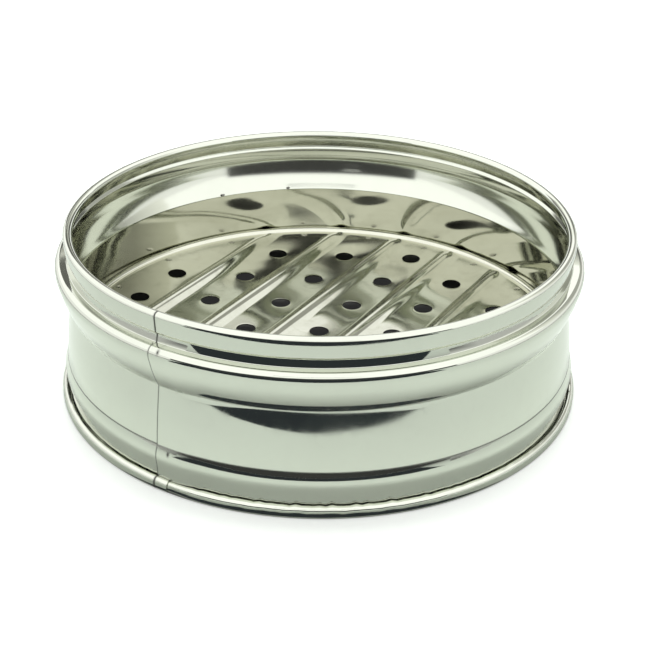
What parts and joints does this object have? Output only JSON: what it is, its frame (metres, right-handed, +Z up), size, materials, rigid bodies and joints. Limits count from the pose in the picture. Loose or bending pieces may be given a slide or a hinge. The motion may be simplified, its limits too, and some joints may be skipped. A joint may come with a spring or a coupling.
{
  "type": "steamer basket",
  "caption": "Round polished steel steamer tier with a curled rim, stacking shoulder, stepped skirt with rolled hem, and a ribbed, perforated steam plate on an inner ring.",
  "frame": {"origin": "centre of the standing plane below the hem, on the tier's upright axis", "axes": "+Z up through the open top; -Y is the front that the picture looks at; +X to the right of the picture"},
  "size_m": [0.2086, 0.2086, 0.07],
  "materials": {
    "polished_steel": "bright mirror-polished stainless steel sheet",
    "weld_steel": "dull fused steel of spot and tack welds"
  },
  "bodies": {
    "root": {"body_band": "polished_steel", "seam_tack_welds": "weld_steel", "plate_ring": "polished_steel", "ring_tack_welds": "weld_steel", "steam_plate": "polished_steel", "plate_spot_welds": "weld_steel"}
  },
  "joints": []
}
